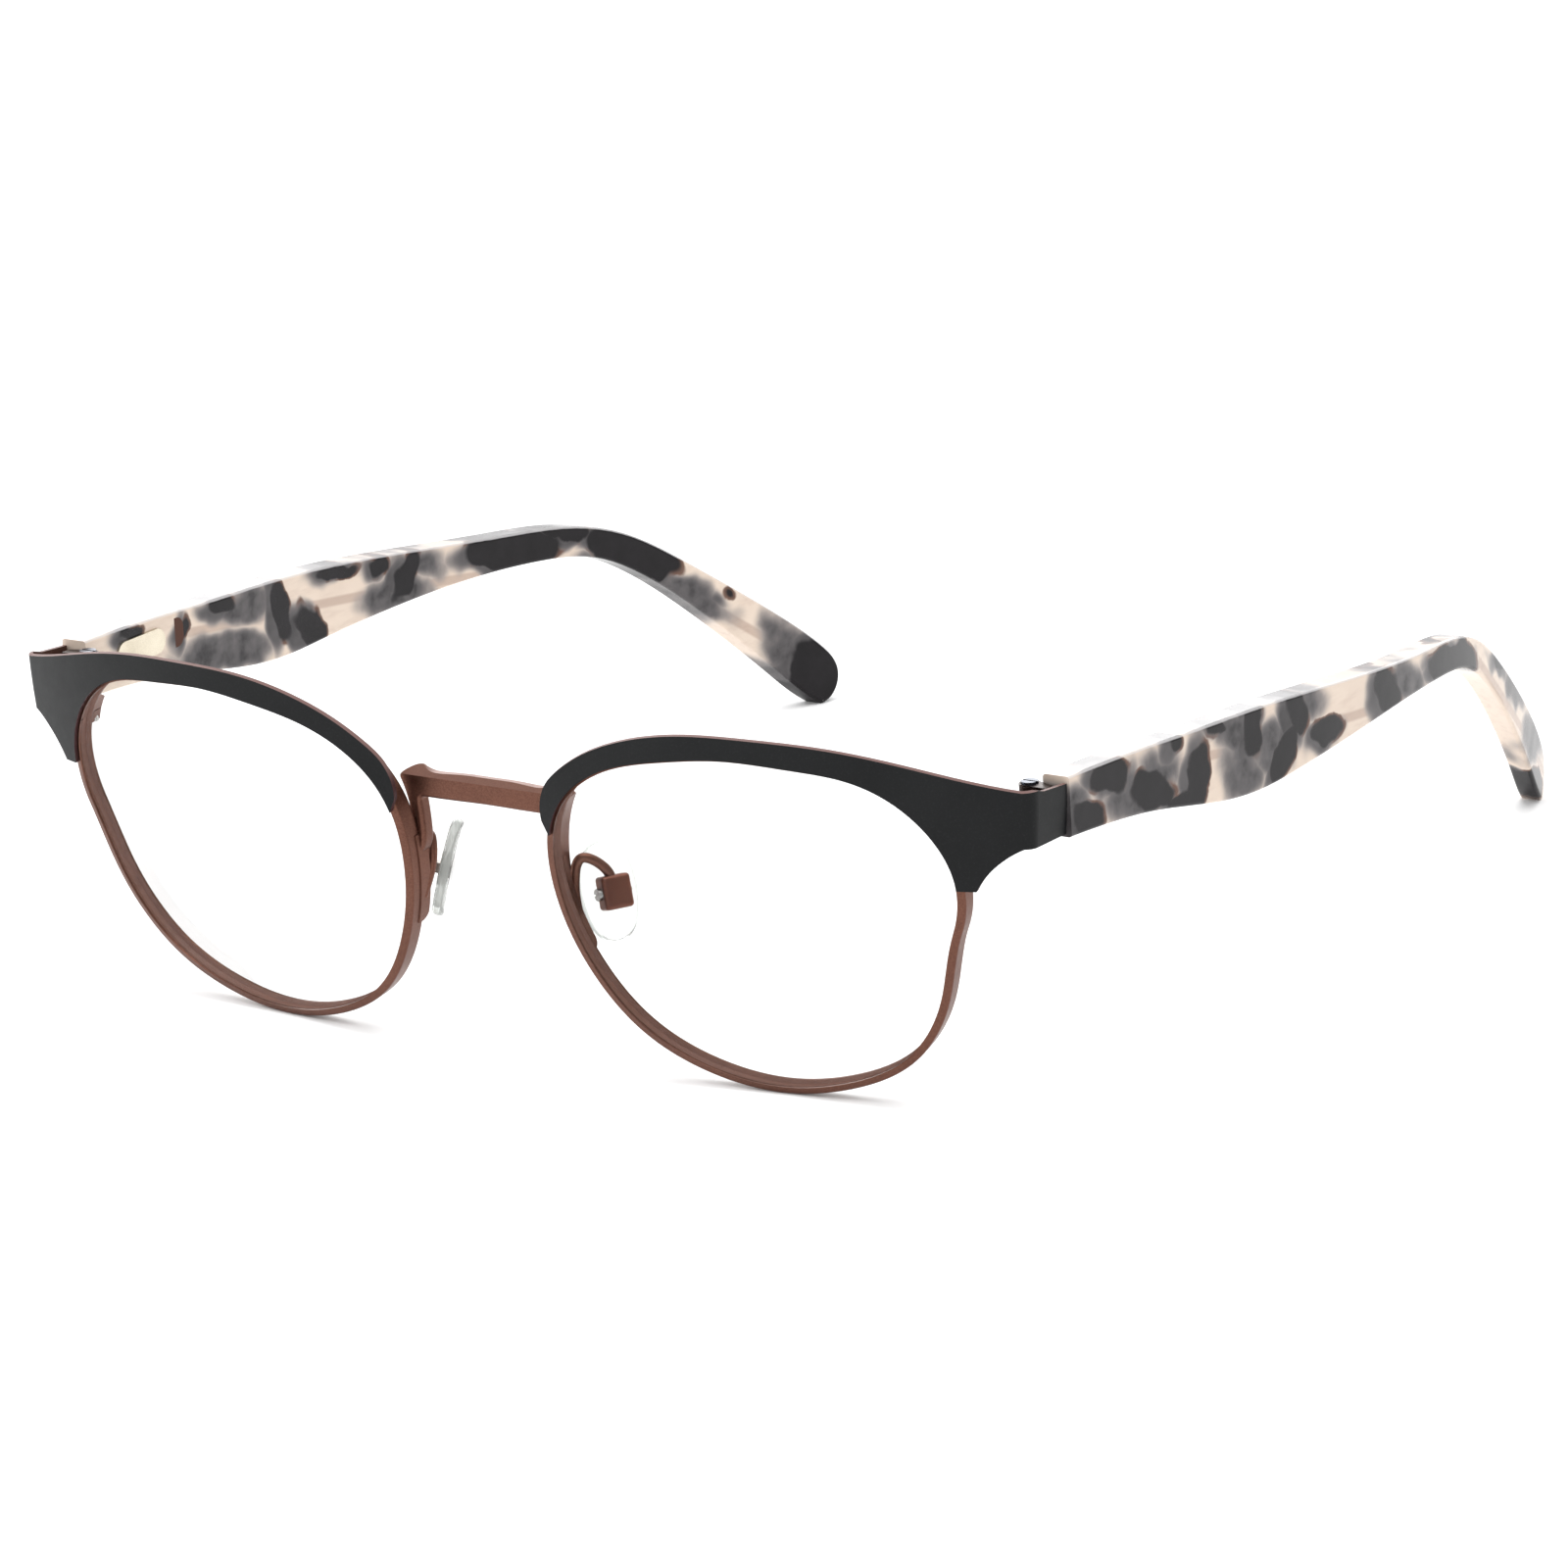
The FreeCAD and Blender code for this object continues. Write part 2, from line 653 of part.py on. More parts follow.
def build_nose_pad():
    """Soft oval pad, fuller at the top, moulded round the core."""
    half_length = size("pad_length") / 2
    half_width = size("pad_width") / 2
    x = size("pad_offset") - size("pad_thickness") / 2
    y = -size("pad_set_back")
    outline = [
        (0.0, half_length), (0.62 * half_width, 0.84 * half_length), (0.98 * half_width, 0.3 * half_length),
        (0.92 * half_width, -0.35 * half_length), (0.5 * half_width, -0.88 * half_length),
        (0.0, -half_length),
        (-0.55 * half_width, -0.86 * half_length),
        (-0.9 * half_width, -0.35 * half_length),
        (-0.92 * half_width, 0.3 * half_length), (-0.6 * half_width, 0.82 * half_length),
    ]
    edge = smooth_wire([Vector(x, y + across, up) for across, up in outline], closed=True).toShape()
    blank = Part.Face(Part.Wire([edge])).extrude(X_AXIS * size("pad_thickness"))
    blank = rounded(blank, size("pad_round"), [item for item in blank.Edges if item.Length > 20])
    return feature("left_nose_pad", only_solid(blank.cut(pad_core())), PAD_PLACEMENT)


def build_pad_arm_base(rim, bridge, lens):
    """Narrow plate soldered behind the nasal side of the rim."""
    rear = size("rim_depth") + size("pad_base_depth")
    band = ring(-0.1, size("pad_base_wall"), 1.2, rear)
    keep = slab((-35, -2, -7.8), (-10, 20, 3.3))
    base = only_solid(band.common(keep))
    corners = [item for item in base.Edges if item.Length < 3.5 and abs(edge_direction(item).x) > 0.9
               and item.CenterOfMass.y > 5.2]
    base = rounded(base, 0.9, corners)
    base.Placement = LENS_PLACEMENT
    base = base.cut(rim).cut(bridge).cut(lens)
    return feature("left_pad_arm_base", only_solid(base))


def edge_direction(edge):
    start, end = edge.Vertexes[0].Point, edge.Vertexes[-1].Point
    direction = end - start
    if direction.Length > 0:
        direction.normalize()
    return direction


# Route of the pad arm's wire, from the base plate over the loop and down to the box.
PAD_WIRE_ROUTE = [
    (10.7, 3.1, 18.0), (10.1, 3.5, 20.0), (9.75, 4.0, 22.4), (10.3, 4.7, 24.5), (11.55, 5.7, 24.0),
    (12.8, 6.55, 21.8),
]


def build_pad_arm(base, box):
    points = [Vector(x, shift_back(y), z) for x, y, z in PAD_WIRE_ROUTE]
    line = smooth_wire(points)
    path = Part.Wire([line.toShape()])
    start = line.value(line.FirstParameter)
    circle = Part.makeCircle(size("pad_wire_radius"), start, line.tangent(line.FirstParameter)[0])
    wire = path.makePipeShell([Part.Wire([circle])], True, True)
    wire = wire.cut(base).cut(box)
    return feature("left_pad_arm", only_solid(wire))


# ---------------------------------------------------------------- hinge

HINGE_PLACEMENT = Placement(
    Vector(size("hinge_x"), shift_back(size("hinge_y")), size("hinge_z")), Rotation())


def leaf_front():
    """X of the leaf's inner face, from the hinge axis."""
    strip_inner = end_piece_face() - size("plate_thickness") - size("hinge_x")
    return strip_inner - size("leaf_thickness"), strip_inner


def screw_clear_radius():
    return size("hinge_screw_radius") + size("running_clearance")


def build_front_hinge(plate):
    """Leaf on the inside of the end piece with two ears round the hinge screw."""
    body = new_body("left_front_hinge_blank")
    inner, strip_inner = leaf_front()
    outer = strip_inner + size("leaf_sink")
    half_height = size("barrel_height") / 2
    leaf = new_sketch(body, "left_front_hinge_leaf_outline", "XY_Plane", -half_height)
    draw_outline(leaf, [(inner, -3.6), (outer, -3.6), (outer, 0.5), (inner, 0.5)])
    pad(body, "left_front_hinge_leaf", leaf, "Dimensions.leaf_height")
    ears = new_sketch(body, "left_front_hinge_ear_outline", "XY_Plane", -half_height)
    radius = size("barrel_radius")
    diagonal = radius * math.sqrt(0.5)
    ears.addGeometry(Part.Arc(Vector(diagonal, diagonal, 0), Vector(-radius, 0, 0), Vector(0, -radius, 0)))
    ears.addGeometry(Part.LineSegment(Vector(0, -radius, 0), Vector(inner, -radius, 0)))
    ears.addGeometry(Part.LineSegment(Vector(inner, -radius, 0), Vector(inner, 0.1, 0)))
    ears.addGeometry(Part.LineSegment(Vector(inner, 0.1, 0), Vector(diagonal, diagonal, 0)))
    pad(body, "left_front_hinge_ears", ears, "Dimensions.barrel_height")
    doc.recompute()
    gap = new_sketch(body, "left_front_hinge_gap_outline", "XY_Plane", -size("knuckle_slot") / 2)
    draw_outline(gap, [(-2, -2.5), (inner, -2.5), (inner, 2), (-2, 2)])
    pocket(body, "left_front_hinge_gap", gap, "Dimensions.knuckle_slot", reverse=True)
    bore = new_sketch(body, "left_front_hinge_bore_outline", "XY_Plane")
    bore.addGeometry(Part.Circle(Vector(0, 0, 0), Z_AXIS, screw_clear_radius()))
    pocket(body, "left_front_hinge_bore", bore, "Dimensions.barrel_height * 2", middle=True)
    sink = new_sketch(body, "left_front_hinge_sink_outline", "XY_Plane", half_height)
    head_clear_radius = size("hinge_head_radius") + size("running_clearance")
    sink.addGeometry(Part.Circle(Vector(0, 0, 0), Z_AXIS, head_clear_radius))
    pocket(body, "left_front_hinge_sink", sink, "Dimensions.hinge_head_height")
    body.Placement = HINGE_PLACEMENT
    doc.recompute()
    # the leaf is soldered flat against the end piece
    return feature("left_front_hinge", only_solid(body.Shape.cut(plate)))


def build_hinge_screw():
    """Shouldered screw, head sunk in the upper ear."""
    half_height = size("barrel_height") / 2
    head_base = half_height - size("hinge_head_height") + size("hinge_head_rise")
    body = new_body("left_hinge_screw")
    shank = new_sketch(body, "left_hinge_screw_shank_outline", "XY_Plane", -half_height)
    draw_circle(shank, "hinge_screw_radius")
    pad(body, "left_hinge_screw_shank", shank,
        "Dimensions.barrel_height - Dimensions.hinge_head_height + 0.3")
    head = new_sketch(body, "left_hinge_screw_head_outline", "XY_Plane", head_base)
    draw_circle(head, "hinge_head_radius")
    pad(body, "left_hinge_screw_head", head, "Dimensions.hinge_head_height")
    doc.recompute()
    slot = new_sketch(body, "left_hinge_screw_slot_outline", "XY_Plane",
                      head_base + size("hinge_head_height"))
    draw_outline(slot, [(-1.2, -0.14), (1.2, -0.14), (1.2, 0.14), (-1.2, 0.14)])
    pocket(body, "left_hinge_screw_slot", slot, "Dimensions.hinge_head_height / 2")
    body.Placement = HINGE_PLACEMENT
    return body


def build_hinge_knuckle():
    """Middle barrel, neck and guide block cast with the rod that carries the spring."""
    body = new_body("left_hinge_knuckle")
    half_height = size("knuckle_height") / 2
    barrel = new_sketch(body, "left_hinge_knuckle_barrel_outline", "XY_Plane", -half_height)
    draw_circle(barrel, "barrel_radius")
    pad(body, "left_hinge_knuckle_barrel", barrel, "Dimensions.knuckle_height")
    neck = new_sketch(body, "left_hinge_knuckle_neck_outline", "XY_Plane", -half_height)
    block_rear = size("rod_start")
    inner = size("rod_offset") - size("guide_half_width")
    outer = size("rod_offset") + size("guide_half_width")
    draw_outline(neck, [(0.2, 0.8), (1.0, 0.3), (outer, 1.5),
                        (outer, block_rear), (inner, block_rear), (inner, 2.0)])
    pad(body, "left_hinge_knuckle_neck", neck, "Dimensions.knuckle_height")
    rod = new_sketch(body, "left_hinge_knuckle_rod_outline", "XZ_Plane", -block_rear + 0.2)
    draw_circle(rod, "rod_radius", centre=(size("rod_offset"), 0.0))
    pad(body, "left_hinge_knuckle_rod", rod, "Dimensions.rod_end - Dimensions.rod_start + 0.2", reverse=True)
    doc.recompute()
    bore = new_sketch(body, "left_hinge_knuckle_bore_outline", "XY_Plane")
    bore.addGeometry(Part.Circle(Vector(0, 0, 0), Z_AXIS, screw_clear_radius()))
    pocket(body, "left_hinge_knuckle_bore", bore, "Dimensions.knuckle_height * 2", middle=True)
    body.Placement = HINGE_PLACEMENT
    return body


def build_hinge_stop():
    """Collar pressed on the end of the rod."""
    start = Vector(size("rod_offset"), size("rod_end") - size("stop_length"), 0)
    collar = Part.makeCylinder(size("stop_radius"), size("stop_length"), start, Y_AXIS)
    bore = Part.makeCylinder(size("rod_radius"), size("stop_length"), start, Y_AXIS)
    return feature("left_hinge_stop", collar.cut(bore), HINGE_PLACEMENT)


def build_hinge_spring():
    """Compression spring round the rod, between the housing's shoulder and the stop."""
    wire_radius = size("spring_wire_radius")
    radius = size("spring_radius")
    start = size("housing_shoulder") + wire_radius + 0.02
    end = size("rod_end") - size("stop_length") - wire_radius - 0.02
    pitch = (end - start) / size("spring_turns")
    helix = Part.makeHelix(pitch, end - start, radius)
    first = helix.Edges[0].valueAt(helix.Edges[0].FirstParameter)
    tangent = helix.Edges[0].tangentAt(helix.Edges[0].FirstParameter)
    circle = Part.Wire([Part.makeCircle(wire_radius, first, tangent)])
    coil = Part.Wire(helix.Edges).makePipeShell([circle], True, True)
    coil.rotate(Vector(0, 0, 0), X_AXIS, -90)
    coil.translate(Vector(size("rod_offset"), start, 0))
    return feature("left_hinge_spring", only_solid(coil), HINGE_PLACEMENT)


def housing_block():
    """Outer block of the housing in the hinge frame, rounded at its rear."""
    half = size("housing_half_height")
    low = (size("housing_inner"), size("housing_front"), -half)
    high = (size("housing_outer"), size("housing_rear"), half)
    block = slab(low, high)
    rear_edges = [edge for edge in block.Edges
                  if edge.CenterOfMass.y > size("housing_rear") - 0.01 and abs(edge_direction(edge).x) > 0.9]
    return rounded(block, size("housing_rear_round"), rear_edges)


def housing_solid():
    """Housing block with the oval boss that shows on the inside of the temple."""
    radius = size("boss_radius")
    depth = size("housing_inner") - size("boss_inner") + 0.2
    start = size("boss_front") + radius
    end = size("boss_rear") - radius
    boss = slab((size("boss_inner"), start, -radius), (size("boss_inner") + depth, end, radius))
    for station in (start, end):
        boss = boss.fuse(Part.makeCylinder(radius, depth, Vector(size("boss_inner"), station, 0), X_AXIS))
    return only_solid(housing_block().fuse(boss).removeSplitter())


def build_hinge_housing():
    front = size("housing_front")
    middle = size("rod_offset")
    half_slot = size("guide_half_width") + size("running_clearance")
    half_height = size("knuckle_height") / 2 + size("running_clearance")
    slot = slab((middle - half_slot, front - 1, -half_height),
                (middle + half_slot, size("housing_slot_end"), half_height))
    throat = slab((size("housing_inner") - 0.1, front - 1, -half_height), (middle, 2.4, half_height))
    guide = Part.makeCylinder(size("rod_radius") + size("running_clearance"), 4,
                              Vector(middle, size("housing_slot_end") - 1, 0), Y_AXIS)
    cavity_length = size("housing_cavity_end") - size("housing_shoulder")
    cavity = Part.makeCylinder(size("housing_cavity_radius"), cavity_length,
                               Vector(middle, size("housing_shoulder"), 0), Y_AXIS)
    housing = housing_solid().cut(slot).cut(throat).cut(guide).cut(cavity)
    return feature("left_hinge_housing", only_solid(housing), HINGE_PLACEMENT)


# ---------------------------------------------------------------- temple

def temple_middle(back):
    """X of the middle of the temple at a depth behind the lens plane."""
    curl = max(0.0, back - size("temple_curl_start"))
    return (size("temple_x_front") + size("temple_splay") * (back - 15.3)
            - size("temple_curl") * curl ** 2)


def temple_band(thickness, tip_thickness):
    """Upright band that follows the temple in plan and thins towards the tip."""
    taper_start = size("temple_taper_start")
    stations = [size("temple_front") - 4, 30.0, 45.0, 60.0, 80.0, 100.0, 120.0, 142.0]
    outer = []
    inner = []
    for back in stations:
        slope = (temple_middle(back + 0.1) - temple_middle(back - 0.1)) / 0.2
        across = Vector(1, -slope, 0)
        across.normalize()
        middle = Vector(temple_middle(back), shift_back(back), -5)
        taper = max(0.0, back - taper_start) / (stations[-1] - taper_start)
        half = (thickness + (tip_thickness - thickness) * taper) / 2
        outer.append(middle + across * half)
        inner.append(middle - across * half)
    edges = [
        smooth_wire(outer).toShape(),
        Part.makeLine(outer[-1], inner[-1]),
        smooth_wire(inner[::-1]).toShape(),
        Part.makeLine(inner[0], outer[0]),
    ]
    return Part.Face(Part.Wire(edges)).extrude(Z_AXIS * 60)


def side_prism(edges):
    face = Part.Face(Part.Wire(edges))
    return face.extrude(X_AXIS * 50)


def side_points(pairs):
    return [Vector(35, shift_back(back), up) for back, up in pairs]


def core_wire_solid():
    """Flat core wire with three keying rings near its front end."""
    thickness = size("core_wire_thickness")
    line = smooth_wire(side_points(CORE_LINE))
    upper = []
    lower = []
    stations = 24
    first, last = line.FirstParameter, line.LastParameter
    for index in range(stations + 1):
        parameter = first + (last - first) * index / stations
        tangent = line.tangent(parameter)[0]
        across = tangent.cross(X_AXIS)
        upper.append(line.value(parameter) + across * (thickness / 2))
        lower.append(line.value(parameter) - across * (thickness / 2))
    edges = [
        smooth_wire(upper).toShape(),
        Part.makeLine(upper[-1], lower[-1]),
        smooth_wire(lower[::-1]).toShape(),
        Part.makeLine(lower[0], upper[0]),
    ]
    wire = side_prism(edges).common(temple_band(thickness, thickness))
    for back in CORE_RING_STATIONS:
        height = line.value(line.parameter(Vector(35, shift_back(back), 33.8))).z
        centre = Vector(temple_middle(back), shift_back(back) - 0.35, height)
        wire = wire.fuse(Part.makeCylinder(size("core_ring_radius"), 0.7, centre, Y_AXIS))
    return only_solid(wire.removeSplitter())


def build_core_wire():
    housing = housing_block()
    housing.Placement = HINGE_PLACEMENT
    return feature("left_core_wire", only_solid(core_wire_solid().cut(housing)))


def build_temple(core):
    top = smooth_wire(side_points(TEMPLE_TOP)).toShape()
    bottom = smooth_wire(side_points(TEMPLE_BOTTOM)).toShape()
    ends = side_points([TEMPLE_BOTTOM[-1], TEMPLE_TOP[0]])
    front = Part.makeLine(ends[0], ends[1])
    band = temple_band(size("temple_thickness"), size("temple_tip_thickness"))
    blank = only_solid(side_prism([top, bottom, front]).common(band))
    long_edges = [edge for edge in blank.Edges if edge.Length > 60]
    blank = rounded(blank, size("temple_round"), long_edges)
    housing = housing_solid()
    housing.Placement = HINGE_PLACEMENT
    mouth = slab((size("boss_inner"), -2, -size("housing_half_height")),
                 (size("housing_outer"), 2.4, size("housing_half_height")))
    mouth.Placement = HINGE_PLACEMENT
    blank = blank.cut(housing).cut(mouth).cut(core)
    return feature("left_temple", only_solid(blank))


# ---------------------------------------------------------------- assembly

left_rim = build_rim()
left_lens = build_lens()
left_brow_plate = build_brow_plate()
whole_rim = rim_solid()
whole_rim.Placement = LENS_PLACEMENT
clear_opening = opening_prism(size("plate_overlap"))
clear_opening.Placement = LENS_PLACEMENT
bridge = build_bridge([whole_rim, whole_rim.mirror(Vector(0, 0, 0), X_AXIS)],
                      [clear_opening, clear_opening.mirror(Vector(0, 0, 0), X_AXIS)])
left_pad_box = build_pad_box()
doc.recompute()
left_pad_arm_base = build_pad_arm_base(whole_rim, bridge.Shape, left_lens.Shape)
left_core_wire = build_core_wire()

LEFT_PIECES = [
    left_rim,
    left_lens,
    left_brow_plate,
    build_closing_block("left_closing_block_upper", upper=True),
    build_closing_block("left_closing_block_lower", upper=False),
    build_closing_screw(),
    left_pad_arm_base,
    build_pad_arm(left_pad_arm_base.Shape, left_pad_box.Shape),
    left_pad_box,
    build_pad_screw(),
    build_pad_insert(),
    build_nose_pad(),
    build_front_hinge(left_brow_plate.Shape),
    build_hinge_screw(),
    build_hinge_knuckle(),
    build_hinge_stop(),
    build_hinge_spring(),
    build_hinge_housing(),
    left_core_wire,
    build_temple(left_core_wire.Shape),
]
doc.recompute()

pieces = [bridge]
for piece in LEFT_PIECES:
    twin = doc.addObject("Part::Mirroring", piece.Label.replace("left_", "right_"))
    twin.Label = piece.Label.replace("left_", "right_")
    twin.Source = piece
    twin.Base = Vector(0, 0, 0)
    twin.Normal = X_AXIS
    pieces.extend([piece, twin])
doc.recompute()

for item in doc.Objects:
    if "Invalid" in item.State or "Error" in item.State:
        raise RuntimeError(f"{item.Label} is {item.State}")
for piece in pieces:
    if piece.Shape.isNull() or not piece.Shape.isValid():
        raise RuntimeError(f"{piece.Label} has no valid shape")

os.makedirs("parts", exist_ok=True)
for piece in pieces:
    piece.Shape.exportStep(os.path.join("parts", f"{piece.Label}.step"))
    box = piece.Shape.BoundBox
    print(f"{piece.Label}: {len(piece.Shape.Solids)} solid, {piece.Shape.Volume:.2f} mm3, "
          f"x {box.XMin:.2f} {box.XMax:.2f}, y {box.YMin:.2f} {box.YMax:.2f}, "
          f"z {box.ZMin:.2f} {box.ZMax:.2f}")
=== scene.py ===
import math

import bpy
from mathutils import Matrix, Vector

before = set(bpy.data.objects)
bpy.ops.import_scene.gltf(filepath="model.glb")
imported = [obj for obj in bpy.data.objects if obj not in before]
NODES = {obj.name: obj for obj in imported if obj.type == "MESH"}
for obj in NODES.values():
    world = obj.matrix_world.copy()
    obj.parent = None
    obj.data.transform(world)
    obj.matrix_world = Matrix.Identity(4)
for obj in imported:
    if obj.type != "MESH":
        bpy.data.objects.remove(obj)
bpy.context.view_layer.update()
MM_PER_M = 1000.0


def srgb(red, green, blue):
    """Linear colour for a shader, from the usual 0-255 values."""
    def linear(value):
        value = value / 255.0
        return value / 12.92 if value <= 0.04045 else ((value + 0.055) / 1.055) ** 2.4
    return (linear(red), linear(green), linear(blue), 1.0)


# ---------------------------------------------------------------- shader graphs

class Graph:
    """Builds one material, with positions on the object in millimetres."""

    def __init__(self, name):
        self.material = bpy.data.materials.new(name)
        self.material.use_nodes = True
        self.tree = self.material.node_tree
        self.tree.nodes.clear()
        self.output = self.tree.nodes.new("ShaderNodeOutputMaterial")
        self.coord = self.tree.nodes.new("ShaderNodeTexCoord")
        self.normal = self.coord.outputs["Normal"]
        self.place = self.scale(self.coord.outputs["Object"], MM_PER_M)

    def put(self, socket, value):
        if isinstance(value, bpy.types.NodeSocket):
            self.tree.links.new(value, socket)
        else:
            socket.default_value = value

    def node(self, kind, inputs=(), **settings):
        made = self.tree.nodes.new(kind)
        for key, value in settings.items():
            setattr(made, key, value)
        for key, value in dict(inputs).items():
            self.put(made.inputs[key], value)
        return made

    def scale(self, vector, factor):
        made = self.node("ShaderNodeVectorMath", operation="SCALE")
        self.put(made.inputs[0], vector)
        self.put(made.inputs["Scale"], factor)
        return made.outputs[0]

    def vector(self, operation, first, second=(0.0, 0.0, 0.0)):
        made = self.node("ShaderNodeVectorMath", {0: first, 1: second}, operation=operation)
        return made.outputs["Value" if operation in ("LENGTH", "DOT_PRODUCT") else 0]

    def math(self, operation, first, second=0.0, third=0.0):
        made = self.node("ShaderNodeMath", {0: first, 1: second, 2: third}, operation=operation)
        return made.outputs[0]

    def axes(self, vector):
        made = self.node("ShaderNodeSeparateXYZ", {0: vector})
        return made.outputs[0], made.outputs[1], made.outputs[2]

    def step(self, value, low, high):
        """0 at low, 1 at high and smooth between them; low may be the larger of the two."""
        made = self.node(
            "ShaderNodeMapRange",
            {"Value": value, "From Min": low, "From Max": high, "To Min": 0.0, "To Max": 1.0},
            interpolation_type="SMOOTHSTEP",
        )
        return made.outputs[0]

    def span(self, value, low, high):
        """Turns 0..1 into low..high."""
        made = self.node(
            "ShaderNodeMapRange",
            {"Value": value, "From Min": 0.0, "From Max": 1.0, "To Min": low, "To Max": high},
        )
        return made.outputs[0]

    def noise(self, size, detail=2.0, roughness=0.5, vector=None):
        """Soft noise whose features are about size millimetres across."""
        made = self.node(
            "ShaderNodeTexNoise",
            {
                "Vector": vector or self.place,
                "Scale": 1.0 / size,
                "Detail": detail,
                "Roughness": roughness,
            },
        )
        return made.outputs["Fac"]

    def wander(self, vector, size, amount, detail=1.0):
        """The same position pushed about by noise, by up to about amount millimetres."""
        made = self.node(
            "ShaderNodeTexNoise", {"Vector": vector, "Scale": 1.0 / size, "Detail": detail}
        )
        centred = self.vector("SUBTRACT", made.outputs["Color"], (0.5, 0.5, 0.5))
        return self.vector("ADD", vector, self.scale(centred, amount * 2.0))

    def mix(self, factor, first, second):
        made = self.node("ShaderNodeMix", data_type="RGBA")
        self.put(made.inputs[0], factor)
        self.put(made.inputs[6], first)
        self.put(made.inputs[7], second)
        return made.outputs[2]

    def bump(self, height, depth):
        """A bump depth millimetres deep."""
        inputs = {"Height": height, "Distance": depth / MM_PER_M}
        return self.node("ShaderNodeBump", inputs).outputs[0]

    def surface(self, **inputs):
        shader = self.node("ShaderNodeBsdfPrincipled")
        for key, value in inputs.items():
            self.put(shader.inputs[key.replace("_", " ")], value)
        self.tree.links.new(shader.outputs[0], self.output.inputs["Surface"])
        return self.material


# ---------------------------------------------------------------- metals

# Plated metals: size of the grain and depth of its bump (mm), how much of the tone is grain, and how
# far the roughness strays either way.
METAL_GRAIN = 0.12
METAL_BUMP = 0.006
GRAIN_SHARE = 0.55
ROUGH_SPREAD = 0.07
# Where the rear end of the hinge housing starts, behind its oval boss (mm along y), and how soon.
HOUSING_TAIL = -39.6
HOUSING_FADE = 0.4
HOUSING_ROUGH = 0.3
# The bridge's ears get a painted highlight on their upward faces: how far from the middle and how high
# that fades (mm).
EAR_NEAR, EAR_FAR = 9.5, 13.5
EAR_LOW, EAR_HIGH = 29.0, 31.0
# Where a brow plate's front face turns into its bend, and where its inner side starts, in mm from
# the middle.
BEND_START, BEND_END = 64.6, 66.2
INNER_START, INNER_END = 64.0, 65.0


def blasted_tone(g, fine):
    """0 to 1 over blasted metal: the fine grain on a broad change of tone."""
    broad = g.math("MULTIPLY", g.noise(5.0, 3.0), 1.0 - GRAIN_SHARE)
    return g.step(g.math("MULTIPLY_ADD", fine, GRAIN_SHARE, broad), 0.3, 0.7)


def plated(g, fine, color, rough):
    return g.surface(
        Base_Color=color,
        Metallic=1.0,
        Roughness=g.span(g.noise(1.2, 4.0, 0.6), rough - ROUGH_SPREAD, rough + ROUGH_SPREAD),
        Normal=g.bump(fine, METAL_BUMP),
    )


def metal(name, dark, light, rough):
    """Blasted and plated metal: soft changes of tone, and a fine grain."""
    g = Graph(name)
    fine = g.noise(METAL_GRAIN, 3.0, 0.65)
    return plated(g, fine, g.mix(blasted_tone(g, fine), dark, light), rough)


def housing_material():
    """Hinge housing: pale plating on the oval boss, bronze on the rear end behind it."""
    g = Graph("housing_pale")
    y = g.axes(g.place)[1]
    fine = g.noise(METAL_GRAIN, 3.0, 0.65)
    color = g.mix(blasted_tone(g, fine), srgb(188, 178, 158), srgb(222, 213, 194))
    color = g.mix(g.step(y, HOUSING_TAIL, HOUSING_TAIL + HOUSING_FADE), color, srgb(74, 50, 42))
    return plated(g, fine, color, HOUSING_ROUGH)


def copper_material():
    """Rims, bridge and pad arms: blasted copper brown, with a painted highlight on the upward faces of
    the bridge's ears.
    """
    g = Graph("copper_satin")
    place = g.axes(g.place)
    across, height = place[0], place[2]
    nz = g.axes(g.normal)[2]
    broad = g.noise(6.0, 3.0)
    fine = g.noise(0.16, 3.0, 0.7)
    grain = g.step(fine, 0.36, 0.66)
    base = g.mix(broad, srgb(80, 53, 44), srgb(106, 71, 59))
    base = g.mix(g.math("MULTIPLY", grain, 0.25), base, srgb(150, 104, 86))
    # painted highlight: upward faces of the bridge's ears, near the middle and high up, are painted
    # paler
    up = g.step(nz, 0.35, 0.95)
    near_middle = g.step(g.math("ABSOLUTE", across), EAR_FAR, EAR_NEAR)
    high = g.step(height, EAR_LOW, EAR_HIGH)
    ear_highlight = g.math("MULTIPLY", g.math("MULTIPLY", up, near_middle), high)
    base = g.mix(g.math("MULTIPLY", ear_highlight, 0.4), base, srgb(132, 102, 92))
    rough = g.span(g.noise(0.9, 4.0, 0.6), 0.30, 0.46)
    return g.surface(
        Base_Color=base,
        Metallic=0.9,
        Roughness=rough,
        Normal=g.bump(fine, 0.008),
    )


